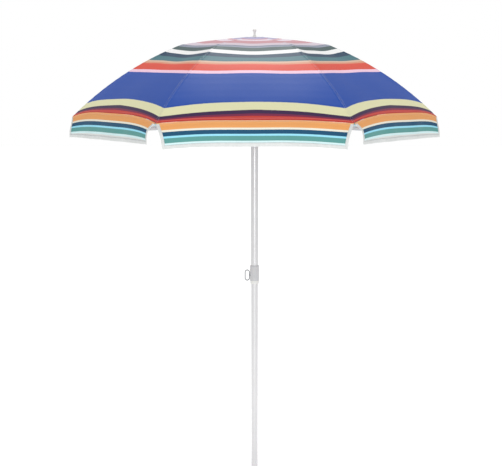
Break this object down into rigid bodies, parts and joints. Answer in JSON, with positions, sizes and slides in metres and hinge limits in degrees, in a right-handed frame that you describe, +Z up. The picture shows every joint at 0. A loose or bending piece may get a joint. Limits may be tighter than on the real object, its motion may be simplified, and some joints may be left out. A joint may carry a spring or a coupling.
{
  "type": "beach umbrella",
  "caption": "Folding beach umbrella: hexagonal striped canopy with hanging flaps, sliding runner, hinged ribs and struts, telescopic pole with clamp screw and ground spike.",
  "frame": {"origin": "point of the ground spike, on the pole's axis", "axes": "+Z up along the pole, towards the canopy; +X through a rib, with the clamp screw on the -X side; +Y and -Y through the middle of a gore"},
  "size_m": [1.6986, 1.4892, 2.1547],
  "materials": {
    "pole_steel": "satin",
    "spike_plastic": "moulded",
    "bush_plastic": "moulded",
    "collar_plastic": "moulded",
    "brass": "turned",
    "screw_steel": "plated",
    "wire_steel": "drawn wire",
    "rib_paint": "painted",
    "tip_plastic": "moulded",
    "finial_plastic": "moulded",
    "canopy_top": "striped woven polyester",
    "canopy_side": "striped woven polyester",
    "canopy_flap": "striped woven polyester"
  },
  "bodies": {
    "lower_pole": {"lower_pole": "pole_steel", "ground_spike": "spike_plastic", "pole_top_bush": "bush_plastic"},
    "upper_pole": {"upper_pole": "pole_steel", "pole_collar": "collar_plastic", "collar_bush": "bush_plastic", "clamp_nut": "brass", "crown_hub": "bush_plastic", "crown_ring_wire": "wire_steel", "crown_cross_pin": "wire_steel", "crown_patch": "canopy_top", "crown_cap": "tip_plastic", "finial": "finial_plastic", "catch_spring": "wire_steel"},
    "clamp_screw": {"clamp_screw": "screw_steel"},
    "catch": {"catch_button": "screw_steel"},
    "runner": {"runner": "bush_plastic", "runner_ring_wire": "wire_steel"},
    "rib_1": {"rib_inner_1": "rib_paint"},
    "rib_end_1": {"rib_outer_1": "rib_paint", "rib_tip_1": "tip_plastic"},
    "strut_1": {"strut_1": "rib_paint"},
    "top_1": {"gore_top_1": "canopy_top"},
    "side_1": {"gore_side_1": "canopy_side"},
    "flap_1": {"valance_1": "canopy_flap"},
    "rib_2": {"rib_inner_2": "rib_paint"},
    "rib_end_2": {"rib_outer_2": "rib_paint", "rib_tip_2": "tip_plastic"},
    "strut_2": {"strut_2": "rib_paint"},
    "top_2": {"gore_top_2": "canopy_top"},
    "side_2": {"gore_side_2": "canopy_side"},
    "flap_2": {"valance_2": "canopy_flap"},
    "rib_3": {"rib_inner_3": "rib_paint"},
    "rib_end_3": {"rib_outer_3": "rib_paint", "rib_tip_3": "tip_plastic"},
    "strut_3": {"strut_3": "rib_paint"},
    "top_3": {"gore_top_3": "canopy_top"},
    "side_3": {"gore_side_3": "canopy_side"},
    "flap_3": {"valance_3": "canopy_flap"},
    "rib_4": {"rib_inner_4": "rib_paint"},
    "rib_end_4": {"rib_outer_4": "rib_paint", "rib_tip_4": "tip_plastic"},
    "strut_4": {"strut_4": "rib_paint"},
    "top_4": {"gore_top_4": "canopy_top"},
    "side_4": {"gore_side_4": "canopy_side"},
    "flap_4": {"valance_4": "canopy_flap"},
    "rib_5": {"rib_inner_5": "rib_paint"},
    "rib_end_5": {"rib_outer_5": "rib_paint", "rib_tip_5": "tip_plastic"},
    "strut_5": {"strut_5": "rib_paint"},
    "top_5": {"gore_top_5": "canopy_top"},
    "side_5": {"gore_side_5": "canopy_side"},
    "flap_5": {"valance_5": "canopy_flap"},
    "rib_6": {"rib_inner_6": "rib_paint"},
    "rib_end_6": {"rib_outer_6": "rib_paint", "rib_tip_6": "tip_plastic"},
    "strut_6": {"strut_6": "rib_paint"},
    "top_6": {"gore_top_6": "canopy_top"},
    "side_6": {"gore_side_6": "canopy_side"},
    "flap_6": {"valance_6": "canopy_flap"}
  },
  "joints": [
    {"name": "pole_height", "type": "slide", "parent": "lower_pole", "child": "upper_pole", "axis": [0, 0, 1], "range_m": [-0.6, 0]},
    {"name": "clamp_turn", "type": "hinge", "parent": "upper_pole", "child": "clamp_screw", "pos_m": [0, 0, 1.016], "axis": [1, 0, 0], "range_deg": [0, 360]},
    {"name": "catch_press", "type": "slide", "parent": "upper_pole", "child": "catch", "axis": [0, -1, 0], "range_m": [-0.0035, 0], "stiffness_N_per_m": 300, "springref_m": 0.004, "deforming": ["catch_spring"]},
    {"name": "runner_slide", "type": "slide", "parent": "upper_pole", "child": "runner", "axis": [0, 0, 1], "range_m": [-0.43873, 0], "deforming": ["gore_top_1", "gore_top_2", "gore_top_3", "gore_top_4", "gore_top_5", "gore_top_6", "gore_side_1", "gore_side_2", "gore_side_3", "gore_side_4", "gore_side_5", "gore_side_6", "valance_1", "valance_2", "valance_3", "valance_4", "valance_5", "valance_6"]},
    {"name": "rib_hinge_1", "type": "hinge", "parent": "upper_pole", "child": "rib_1", "pos_m": [0.025, 0, 2.11199], "axis": [0, 1, 0], "range_deg": [0, 81.86]},
    {"name": "rib_flex_1", "type": "hinge", "parent": "rib_1", "child": "rib_end_1", "pos_m": [0.34, 0, 2.07493], "axis": [0, 1, 0], "range_deg": [-30.26, 0]},
    {"name": "strut_hinge_1", "type": "hinge", "parent": "rib_1", "child": "strut_1", "pos_m": [0.33907, 0, 2.06699], "axis": [0, 1, 0], "range_deg": [-137.7, 0]},
    {"name": "gore_fold_1", "type": "hinge", "parent": "upper_pole", "child": "top_1", "pos_m": [0.02598, 0.015, 2.11592], "axis": [-0.5, 0.866, 0], "range_deg": [0, 81.42]},
    {"name": "gore_bend_1", "type": "hinge", "parent": "top_1", "child": "side_1", "pos_m": [0.255, 0.14722, 2.08], "axis": [-0.5, 0.866, 0], "range_deg": [-34.21, 0]},
    {"name": "flap_hang_1", "type": "hinge", "parent": "side_1", "child": "flap_1", "pos_m": [0.63026, 0.36388, 1.75], "axis": [-0.5, 0.866, 0], "range_deg": [-47.22, 0]},
    {"name": "rib_hinge_2", "type": "hinge", "parent": "upper_pole", "child": "rib_2", "pos_m": [0.0125, 0.02165, 2.11199], "axis": [-0.866, 0.5, 0], "range_deg": [0, 81.86]},
    {"name": "rib_flex_2", "type": "hinge", "parent": "rib_2", "child": "rib_end_2", "pos_m": [0.17, 0.29445, 2.07493], "axis": [-0.866, 0.5, 0], "range_deg": [-30.26, 0]},
    {"name": "strut_hinge_2", "type": "hinge", "parent": "rib_2", "child": "strut_2", "pos_m": [0.16953, 0.29364, 2.06699], "axis": [-0.866, 0.5, 0], "range_deg": [-137.7, 0]},
    {"name": "gore_fold_2", "type": "hinge", "parent": "upper_pole", "child": "top_2", "pos_m": [0, 0.03, 2.11592], "axis": [-1, 0, 0], "range_deg": [0, 81.42]},
    {"name": "gore_bend_2", "type": "hinge", "parent": "top_2", "child": "side_2", "pos_m": [0, 0.29445, 2.08], "axis": [-1, 0, 0], "range_deg": [-34.21, 0]},
    {"name": "flap_hang_2", "type": "hinge", "parent": "side_2", "child": "flap_2", "pos_m": [0, 0.72776, 1.75], "axis": [-1, 0, 0], "range_deg": [-47.22, 0]},
    {"name": "rib_hinge_3", "type": "hinge", "parent": "upper_pole", "child": "rib_3", "pos_m": [-0.0125, 0.02165, 2.11199], "axis": [-0.866, -0.5, 0], "range_deg": [0, 81.86]},
    {"name": "rib_flex_3", "type": "hinge", "parent": "rib_3", "child": "rib_end_3", "pos_m": [-0.17, 0.29445, 2.07493], "axis": [-0.866, -0.5, 0], "range_deg": [-30.26, 0]},
    {"name": "strut_hinge_3", "type": "hinge", "parent": "rib_3", "child": "strut_3", "pos_m": [-0.16953, 0.29364, 2.06699], "axis": [-0.866, -0.5, 0], "range_deg": [-137.7, 0]},
    {"name": "gore_fold_3", "type": "hinge", "parent": "upper_pole", "child": "top_3", "pos_m": [-0.02598, 0.015, 2.11592], "axis": [-0.5, -0.866, 0], "range_deg": [0, 81.42]},
    {"name": "gore_bend_3", "type": "hinge", "parent": "top_3", "child": "side_3", "pos_m": [-0.255, 0.14722, 2.08], "axis": [-0.5, -0.866, 0], "range_deg": [-34.21, 0]},
    {"name": "flap_hang_3", "type": "hinge", "parent": "side_3", "child": "flap_3", "pos_m": [-0.63026, 0.36388, 1.75], "axis": [-0.5, -0.866, 0], "range_deg": [-47.22, 0]},
    {"name": "rib_hinge_4", "type": "hinge", "parent": "upper_pole", "child": "rib_4", "pos_m": [-0.025, 0, 2.11199], "axis": [0, -1, 0], "range_deg": [0, 81.86]},
    {"name": "rib_flex_4", "type": "hinge", "parent": "rib_4", "child": "rib_end_4", "pos_m": [-0.34, 0, 2.07493], "axis": [0, -1, 0], "range_deg": [-30.26, 0]},
    {"name": "strut_hinge_4", "type": "hinge", "parent": "rib_4", "child": "strut_4", "pos_m": [-0.33907, 0, 2.06699], "axis": [0, -1, 0], "range_deg": [-137.7, 0]},
    {"name": "gore_fold_4", "type": "hinge", "parent": "upper_pole", "child": "top_4", "pos_m": [-0.02598, -0.015, 2.11592], "axis": [0.5, -0.866, 0], "range_deg": [0, 81.42]},
    {"name": "gore_bend_4", "type": "hinge", "parent": "top_4", "child": "side_4", "pos_m": [-0.255, -0.14722, 2.08], "axis": [0.5, -0.866, 0], "range_deg": [-34.21, 0]},
    {"name": "flap_hang_4", "type": "hinge", "parent": "side_4", "child": "flap_4", "pos_m": [-0.63026, -0.36388, 1.75], "axis": [0.5, -0.866, 0], "range_deg": [-47.22, 0]},
    {"name": "rib_hinge_5", "type": "hinge", "parent": "upper_pole", "child": "rib_5", "pos_m": [-0.0125, -0.02165, 2.11199], "axis": [0.866, -0.5, 0], "range_deg": [0, 81.86]},
    {"name": "rib_flex_5", "type": "hinge", "parent": "rib_5", "child": "rib_end_5", "pos_m": [-0.17, -0.29445, 2.07493], "axis": [0.866, -0.5, 0], "range_deg": [-30.26, 0]},
    {"name": "strut_hinge_5", "type": "hinge", "parent": "rib_5", "child": "strut_5", "pos_m": [-0.16953, -0.29364, 2.06699], "axis": [0.866, -0.5, 0], "range_deg": [-137.7, 0]},
    {"name": "gore_fold_5", "type": "hinge", "parent": "upper_pole", "child": "top_5", "pos_m": [0, -0.03, 2.11592], "axis": [1, 0, 0], "range_deg": [0, 81.42]},
    {"name": "gore_bend_5", "type": "hinge", "parent": "top_5", "child": "side_5", "pos_m": [0, -0.29445, 2.08], "axis": [1, 0, 0], "range_deg": [-34.21, 0]},
    {"name": "flap_hang_5", "type": "hinge", "parent": "side_5", "child": "flap_5", "pos_m": [0, -0.72776, 1.75], "axis": [1, 0, 0], "range_deg": [-47.22, 0]},
    {"name": "rib_hinge_6", "type": "hinge", "parent": "upper_pole", "child": "rib_6", "pos_m": [0.0125, -0.02165, 2.11199], "axis": [0.866, 0.5, 0], "range_deg": [0, 81.86]},
    {"name": "rib_flex_6", "type": "hinge", "parent": "rib_6", "child": "rib_end_6", "pos_m": [0.17, -0.29445, 2.07493], "axis": [0.866, 0.5, 0], "range_deg": [-30.26, 0]},
    {"name": "strut_hinge_6", "type": "hinge", "parent": "rib_6", "child": "strut_6", "pos_m": [0.16953, -0.29364, 2.06699], "axis": [0.866, 0.5, 0], "range_deg": [-137.7, 0]},
    {"name": "gore_fold_6", "type": "hinge", "parent": "upper_pole", "child": "top_6", "pos_m": [0.02598, -0.015, 2.11592], "axis": [0.5, 0.866, 0], "range_deg": [0, 81.42]},
    {"name": "gore_bend_6", "type": "hinge", "parent": "top_6", "child": "side_6", "pos_m": [0.255, -0.14722, 2.08], "axis": [0.5, 0.866, 0], "range_deg": [-34.21, 0]},
    {"name": "flap_hang_6", "type": "hinge", "parent": "side_6", "child": "flap_6", "pos_m": [0.63026, -0.36388, 1.75], "axis": [0.5, 0.866, 0], "range_deg": [-47.22, 0]}
  ],
  "couplings": [
    {"joint": "rib_hinge_1", "follows": "runner_slide", "rad_per_m": -3.2559},
    {"joint": "rib_flex_1", "follows": "runner_slide", "rad_per_m": 1.2034},
    {"joint": "strut_hinge_1", "follows": "runner_slide", "rad_per_m": 5.4776},
    {"joint": "gore_fold_1", "follows": "runner_slide", "rad_per_m": -3.2384},
    {"joint": "gore_bend_1", "follows": "runner_slide", "rad_per_m": 1.3604},
    {"joint": "flap_hang_1", "follows": "runner_slide", "rad_per_m": 1.878},
    {"joint": "rib_hinge_2", "follows": "runner_slide", "rad_per_m": -3.2559},
    {"joint": "rib_flex_2", "follows": "runner_slide", "rad_per_m": 1.2034},
    {"joint": "strut_hinge_2", "follows": "runner_slide", "rad_per_m": 5.4776},
    {"joint": "gore_fold_2", "follows": "runner_slide", "rad_per_m": -3.2384},
    {"joint": "gore_bend_2", "follows": "runner_slide", "rad_per_m": 1.3604},
    {"joint": "flap_hang_2", "follows": "runner_slide", "rad_per_m": 1.878},
    {"joint": "rib_hinge_3", "follows": "runner_slide", "rad_per_m": -3.2559},
    {"joint": "rib_flex_3", "follows": "runner_slide", "rad_per_m": 1.2034},
    {"joint": "strut_hinge_3", "follows": "runner_slide", "rad_per_m": 5.4776},
    {"joint": "gore_fold_3", "follows": "runner_slide", "rad_per_m": -3.2384},
    {"joint": "gore_bend_3", "follows": "runner_slide", "rad_per_m": 1.3604},
    {"joint": "flap_hang_3", "follows": "runner_slide", "rad_per_m": 1.878},
    {"joint": "rib_hinge_4", "follows": "runner_slide", "rad_per_m": -3.2559},
    {"joint": "rib_flex_4", "follows": "runner_slide", "rad_per_m": 1.2034},
    {"joint": "strut_hinge_4", "follows": "runner_slide", "rad_per_m": 5.4776},
    {"joint": "gore_fold_4", "follows": "runner_slide", "rad_per_m": -3.2384},
    {"joint": "gore_bend_4", "follows": "runner_slide", "rad_per_m": 1.3604},
    {"joint": "flap_hang_4", "follows": "runner_slide", "rad_per_m": 1.878},
    {"joint": "rib_hinge_5", "follows": "runner_slide", "rad_per_m": -3.2559},
    {"joint": "rib_flex_5", "follows": "runner_slide", "rad_per_m": 1.2034},
    {"joint": "strut_hinge_5", "follows": "runner_slide", "rad_per_m": 5.4776},
    {"joint": "gore_fold_5", "follows": "runner_slide", "rad_per_m": -3.2384},
    {"joint": "gore_bend_5", "follows": "runner_slide", "rad_per_m": 1.3604},
    {"joint": "flap_hang_5", "follows": "runner_slide", "rad_per_m": 1.878},
    {"joint": "rib_hinge_6", "follows": "runner_slide", "rad_per_m": -3.2559},
    {"joint": "rib_flex_6", "follows": "runner_slide", "rad_per_m": 1.2034},
    {"joint": "strut_hinge_6", "follows": "runner_slide", "rad_per_m": 5.4776},
    {"joint": "gore_fold_6", "follows": "runner_slide", "rad_per_m": -3.2384},
    {"joint": "gore_bend_6", "follows": "runner_slide", "rad_per_m": 1.3604},
    {"joint": "flap_hang_6", "follows": "runner_slide", "rad_per_m": 1.878}
  ]
}
